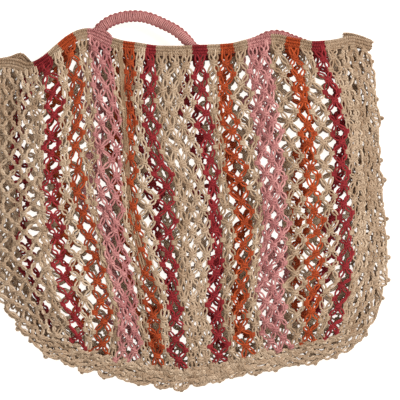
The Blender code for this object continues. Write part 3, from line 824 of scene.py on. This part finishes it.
def make_net(net, grid):
    """All of one net's strands and knots, one piece a colour, or a piece above and below the fold."""
    runs = strand_runs(net, grid)
    bars = knot_bars(net, grid)
    if net is GUSSET:
        bars += picots(net, grid)
    owners = {}
    for pair in range(-net.side, net.side):
        if net is GUSSET:
            label = "upper" if pair < 0 else "lower"
        else:
            label = colour_of(pair)
        owners.setdefault(label, []).append(pair)
    for label, pairs in owners.items():
        colour = label if label in FINISHES else "natural"
        lines = [line for pair in pairs for line in runs[pair + net.side]]
        rings = [ring for owner, ring in bars if owner in pairs]
        parts = [
            tube_mesh("strands", lines, net.twine, net.sides, False, STRAND_TONES),
            tube_mesh("knots", rings, net.twine, 4, True, KNOT_SHADE_TONES),
        ]
        # The pleat's strands are painted deep, as painted shade in the fold.
        if net is FRONT and label == "natural":
            parts.append(tube_mesh("pleat", pleat_lines(), net.twine, 4, False, PLEAT_SHADE_TONES))
        made = piece(f"{net.node}_{label}", parts, FINISHES[colour])
        settle(made, net.node)


def front_place(column, step):
    """Places of the front panel, by column and half row."""
    flat = panel_points(FRONT_STRIPES, column, step / FRONT.steps)
    height = upper_height(flat[:, 0], flat[:, 1])
    return np.column_stack((flat, height)).reshape(*column.shape, 3)


def back_place(column, step):
    """Places of the back panel. It drifts with the front one, and a little on its own."""
    share = np.ravel(step) / BACK.steps * BACK_LENGTH
    flat = panel_points(BACK_STRIPES, column, share)
    lower = below_heading(FRONT_HEADING, flat[:, 0]) - below_heading(BACK_HEADING, flat[:, 0])
    flat[:, 1] -= lower * (1 - smoothstep(share / BACK_MEETS))
    flat += drift(flat[:, 0], flat[:, 1], back_waves) * smoothstep(share * CALM_ENDS)[:, None]
    return np.column_stack((flat, np.full(len(flat), BACK_LAYER))).reshape(*column.shape, 3)


front_waves = make_waves(DRIFT_FRONT)
back_waves = make_waves(DRIFT_BACK)
gusset_waves = make_waves(DRIFT_GUSSET)
front_seam = seam_line(FRONT, front_place)
back_seam = seam_line(BACK, back_place)


def gusset_place(column, step):
    """Places of the gusset: columns below 0 are in front of the fold, and those above behind it."""
    across = np.ravel(column) / GUSSET.side
    across = np.sign(across) * np.abs(across) ** FOLD_CURL
    step = np.ravel(step).astype(float)
    lag = smoothstep(across * LAG_ACROSS)
    lag = lag * smoothstep(step / LAG_ALONG) * smoothstep((GUSSET.steps - step) / LAG_ALONG)
    step = step + lag
    share = step / GUSSET.steps
    fold = fold_line(share)
    front = across < 0
    edge = np.where(front[:, None], front_seam(step), back_seam(step))
    fold = fold + unit(edge - fold) * FOLD_INSET
    flat = fold + (edge - fold) * np.abs(across)[:, None]
    free = smoothstep(across * GUSSET_CALM_FOLD) * smoothstep((1 - across) * GUSSET_CALM_SEAM)
    ends = smoothstep(step / GUSSET_CALM_STEPS) * smoothstep((GUSSET.steps - step) / GUSSET_CALM_STEPS)
    flat += drift(flat[:, 0], flat[:, 1], gusset_waves) * (free * ends)[:, None]
    end = np.where(share < 0.5, 0.0, 1.0)
    fold_end = fold_line(end)
    edge_end = np.where(front[:, None], front_seam(end * GUSSET.steps), back_seam(end * GUSSET.steps))
    reach = np.abs(across)
    x_end = fold_end[:, 0] + (edge_end[:, 0] - fold_end[:, 0]) * reach
    straight = fold_end[:, 1] + (edge_end[:, 1] - fold_end[:, 1]) * reach
    fitted = np.where(front, below_heading(FRONT_HEADING, x_end), below_heading(BACK_HEADING, x_end))
    flat[:, 1] += (fitted - straight) * (1 - smoothstep(np.abs(share - end) / END_REACH))
    height = np.where(front, upper_height(flat[:, 0], flat[:, 1]), BACK_LAYER)
    height = np.where(across == 0, FOLD_APEX, height)
    return np.column_stack((flat, height)).reshape(*column.shape, 3)


# Camera, light and floor.
VIEW_WIDTH = 0.460          # the width of the floor that the camera sees, and its middle
VIEW_MIDDLE = (0.0138, -0.0003)
CAMERA_HEIGHT = 5.5
SENSOR = 36.0
Lamp = namedtuple("Lamp", "name place size power")
LAMPS = (
    Lamp("key", (1.9, 1.1, 2.5), 0.8, 92.0),
    Lamp("fill", (-0.9, -0.5, 1.5), 1.2, 8.0),
)
SKY = (1.0, 0.95, 0.88, 1)
SKY_STRENGTH = 0.52
FLOOR_HALF = 3.0
FLOOR_DROP = 0.0002
FLOOR_BASE = (0.48, 0.42, 0.36, 1)      # what the bag sees of the floor
FLOOR_GLOW = (1.0, 0.945, 0.895, 1)     # what the camera sees of it besides
FLOOR_STRENGTH = 0.94


def set_camera():
    """A camera straight above, far off, so that it looks nearly parallel."""
    data = bpy.data.cameras.new("camera")
    data.sensor_width = SENSOR
    data.lens = SENSOR * CAMERA_HEIGHT / VIEW_WIDTH
    camera = bpy.data.objects.new("camera", data)
    camera.location = (*VIEW_MIDDLE, CAMERA_HEIGHT)
    bpy.context.scene.collection.objects.link(camera)
    bpy.context.scene.camera = camera


def set_light():
    """An even sky, and area lamps that look at the bag's middle."""
    world = bpy.data.worlds.new("studio")
    world.use_nodes = True
    set_inputs(world.node_tree.nodes["Background"], {"Color": SKY, "Strength": SKY_STRENGTH})
    bpy.context.scene.world = world
    for lamp in LAMPS:
        data = bpy.data.lights.new(lamp.name, "AREA")
        data.size = lamp.size
        data.energy = lamp.power
        made = bpy.data.objects.new(lamp.name, data)
        made.location = lamp.place
        aim = -np.array(lamp.place, float)
        made.rotation_euler = (
            math.atan2(math.hypot(aim[0], aim[1]), -aim[2]),
            0.0,
            math.atan2(aim[1], aim[0]) - math.pi / 2,
        )
        bpy.context.scene.collection.objects.link(made)
    bpy.context.scene.view_settings.view_transform = "Standard"


def set_floor():
    """A pale floor that glows to the camera alone, as a studio sweep does."""
    bm = bmesh.new()
    bmesh.ops.create_grid(bm, x_segments=1, y_segments=1, size=FLOOR_HALF)
    bmesh.ops.translate(bm, verts=bm.verts[:], vec=(0, 0, -FLOOR_DROP))
    mesh = bpy.data.meshes.new("floor")
    bm.to_mesh(mesh)
    bm.free()
    floor = bpy.data.objects.new("floor", mesh)
    bpy.context.scene.collection.objects.link(floor)
    finish = bpy.data.materials.new("white_floor")
    finish.use_nodes = True
    nodes = finish.node_tree.nodes
    rays = nodes.new("ShaderNodeLightPath")
    glow = nodes.new("ShaderNodeMapRange")
    set_inputs(glow, {"Value": rays.outputs["Is Camera Ray"], "To Max": FLOOR_STRENGTH})
    look = {
        "Base Color": FLOOR_BASE, "Roughness": 0.9, "Emission Color": FLOOR_GLOW,
        "Emission Strength": glow.outputs[0],
    }
    set_inputs(nodes["Principled BSDF"], look)
    mesh.materials.append(finish)


# The headings.
RIB_PITCH = 0.0019          # from one wrap to the next
RIB_TWINE = 0.0017
RIB_CORE = 0.0026
RIB_TURN = 0.00108          # a wrap's middle line, from its cord's
RIB_TURN_UNEVEN = (0.92, 1.08)
RIB_SPREAD = 0.00370        # from one cord to the next
RIB_LEAN = 0.0007
RIB_LEAN_UNEVEN = 0.0001
CORE_DROP = 0.0004          # the core under a cord, and the core between two cords
CORE_SINK = 0.0012
HEADING_TONES = {
    "natural": (-0.10, 0.40), "crimson": (0.10, 0.50), "orange": (0.50, 1.00), "pink": (0.25, 0.70),
}
EXTRA_RIB = (-0.1100, -0.0880)      # along X, a fourth rib of the front heading, for the handle
EXTRA_SWELL = 0.6


def block_colour(x):
    """The colour of a heading at a place along X."""
    for block in HEADING_BLOCKS:
        if block.start <= x < block.end:
            return block.colour
    return "natural"


def make_heading(node, heading, height_at, extra=None, name=None):
    """Three cords side by side, each wound closely with twine, in blocks of colour; the sunk cores are
    painted deep, as painted shade in the grooves.
    """
    read = along(heading)
    turns = round(read.length / RIB_PITCH)
    flat = read(np.linspace(0, 1, turns + 1))
    middle = np.column_stack((flat, height_at(flat[:, 0], flat[:, 1])))
    forward = unit(np.gradient(middle, axis=0))
    side = unit(np.cross(UPWARD, forward))
    up = np.cross(forward, side)
    colours = [block_colour(x) for x in middle[:, 0]]
    rings = {}
    cores = {}
    for rib in (-1, 0, 1, 2):
        reach = np.full(turns + 1, rib * RIB_SPREAD)
        shown = np.ones(turns + 1, bool)
        if rib == 2:
            if extra is None:
                continue
            shown = (middle[:, 0] > extra[0]) & (middle[:, 0] < extra[1])
            run = np.clip((middle[:, 0] - extra[0]) / (extra[1] - extra[0]), 0, 1)
            reach = RIB_SPREAD * (1 + np.sin(math.pi * run) ** EXTRA_SWELL)
        cord = middle + side * reach[:, None]
        lean = RIB_LEAN if rib % 2 else -RIB_LEAN
        for place in np.flatnonzero(shown):
            turn = RIB_TURN * draw.uniform(*RIB_TURN_UNEVEN)
            ahead = np.cos(BAR_ANGLES) * lean + draw.normal(0, RIB_LEAN_UNEVEN)
            ring = (
                cord[place]
                + side[place] * (np.cos(BAR_ANGLES) * turn)[:, None]
                + up[place] * (np.sin(BAR_ANGLES) * turn)[:, None]
                + forward[place] * ahead[:, None]
            )
            rings.setdefault(colours[place], []).append(ring)
        for sunk in (cord - up * CORE_DROP, cord - side * RIB_SPREAD / 2 - up * CORE_SINK):
            runs = np.flatnonzero(shown)
            start = runs[0]
            for place in runs[1:]:
                if place == runs[-1] or colours[place] != colours[start]:
                    cores.setdefault(colours[start], []).append(sunk[start:place + 1])
                    start = place
    for colour in rings:
        parts = [tube_mesh("wraps", rings[colour], RIB_TWINE, 4, True, HEADING_TONES[colour])]
        if cores.get(colour):
            parts.append(tube_mesh("cores", cores[colour], RIB_CORE, 4, False, CORE_SHADE_TONES))
        settle(piece(f"{name or node}_{colour}", parts, FINISHES[colour]), node)


# The handles.
HANDLE_HALF = 0.0048        # a middle wrap, to each side of the handle's middle line
HANDLE_TALL = 0.0038        # and above and below it
WRAP_PITCH = 0.0021
WRAP_TWINE = 0.0018
WRAP_LEAN = 0.0006
WRAP_LEAN_UNEVEN = 0.00012
WRAP_WIDE_UNEVEN = (0.97, 1.03)
WRAP_TALL_UNEVEN = (0.96, 1.04)
# Painted highlight: the middle wraps are painted pale.
WRAP_HIGHLIGHT_TONES = (0.5, 0.9)
HANDLE_EDGE = 0.0051        # the twisted edges, from the handle's middle line
EDGE_TURN = 0.0006
EDGE_TWINE = 0.0028
EDGE_PITCH = 0.0054         # the length of one turn of an edge, and the points round it
EDGE_POINTS = 7
# Painted shade: the twisted edges are painted deep.
EDGE_SHADE_TONES = (-0.4, -0.2)
FILLER_PLACES = (-0.0030, 0.0, 0.0030)
FILLER_TWINE = 0.0050


def make_handle(node, route, free):
    """A rope that lies flat: crosswise wraps between two twisted edges, with a painted highlight on the
    wraps, and painted shade on the edges and on the fillers inside.
    """
    read = along(route)

    def frame_of(count):
        """Middle line, directions and share of the full width at even places."""
        centre = read(np.linspace(0, 1, count))
        forward = unit(np.gradient(centre, axis=0))
        side = unit(np.cross(UPWARD, forward))
        past_start = smoothstep((centre[:, 0] - free[0]) / FREE_FADE + 0.5)
        before_end = smoothstep((free[1] - centre[:, 0]) / FREE_FADE + 0.5)
        full = HIDDEN_SHARE + (1 - HIDDEN_SHARE) * (past_start * before_end)
        return centre, forward, side, np.cross(forward, side), full

    wraps = round(read.length / WRAP_PITCH)
    centre, forward, side, up, full = frame_of(wraps + 1)
    rings = []
    for place in range(wraps + 1):
        lean = WRAP_LEAN * np.cos(WRAP_ANGLES) + draw.normal(0, WRAP_LEAN_UNEVEN)
        wide = HANDLE_HALF * full[place] * draw.uniform(*WRAP_WIDE_UNEVEN)
        tall = HANDLE_TALL * full[place] * draw.uniform(*WRAP_TALL_UNEVEN)
        rings.append(
            centre[place]
            + side[place] * (np.cos(WRAP_ANGLES) * wide)[:, None]
            + up[place] * (np.sin(WRAP_ANGLES) * tall)[:, None]
            + forward[place] * lean[:, None]
        )
    turns = round(read.length / EDGE_PITCH)
    centre, forward, side, up, full = frame_of(turns * EDGE_POINTS + 1)
    angle = np.linspace(0, 2 * math.pi * turns, turns * EDGE_POINTS + 1)
    edges = []
    for hand in (-1, 1):
        turn = angle + (math.pi if hand > 0 else 0)
        out = hand * HANDLE_EDGE * full + np.cos(turn) * EDGE_TURN * full
        edges.append(centre + side * out[:, None] + up * (np.sin(turn) * EDGE_TURN * hand)[:, None])
    fillers = [centre[::3] + side[::3] * off * full[::3, None] for off in FILLER_PLACES]
    parts = [
        tube_mesh("wraps", rings, WRAP_TWINE, 4, True, WRAP_HIGHLIGHT_TONES),
        tube_mesh("edges", edges, EDGE_TWINE, 6, False, EDGE_SHADE_TONES),
        tube_mesh("fillers", fillers, FILLER_TWINE, 6, False, CORE_SHADE_TONES),
    ]
    settle(piece(f"{node}_pink", parts, FINISHES["pink"]), node)


def level(height):
    """A layer that lies level at a height."""
    return lambda x, y: np.full(len(x), height)


def build_bag():
    """The nets, the headings and the handles, in the order of their random draws."""
    front = net_grid(FRONT, front_place)
    back = net_grid(BACK, back_place)
    gusset = net_grid(GUSSET, gusset_place)
    make_net(BACK, back)
    make_net(GUSSET, gusset)
    make_net(FRONT, front)
    make_heading("front_heading", FRONT_HEADING, upper_height, EXTRA_RIB)
    make_heading("back_heading", BACK_HEADING, level(BACK_HEADING_HEIGHT))
    make_heading("back_heading", CORNER_TAB, level(TAB_HEIGHT), name="corner_tab")
    make_handle("front_handle", FRONT_HANDLE, FRONT_FREE)
    make_handle("back_handle", BACK_HANDLE, BACK_FREE)


set_camera()
set_light()
set_floor()
build_bag()
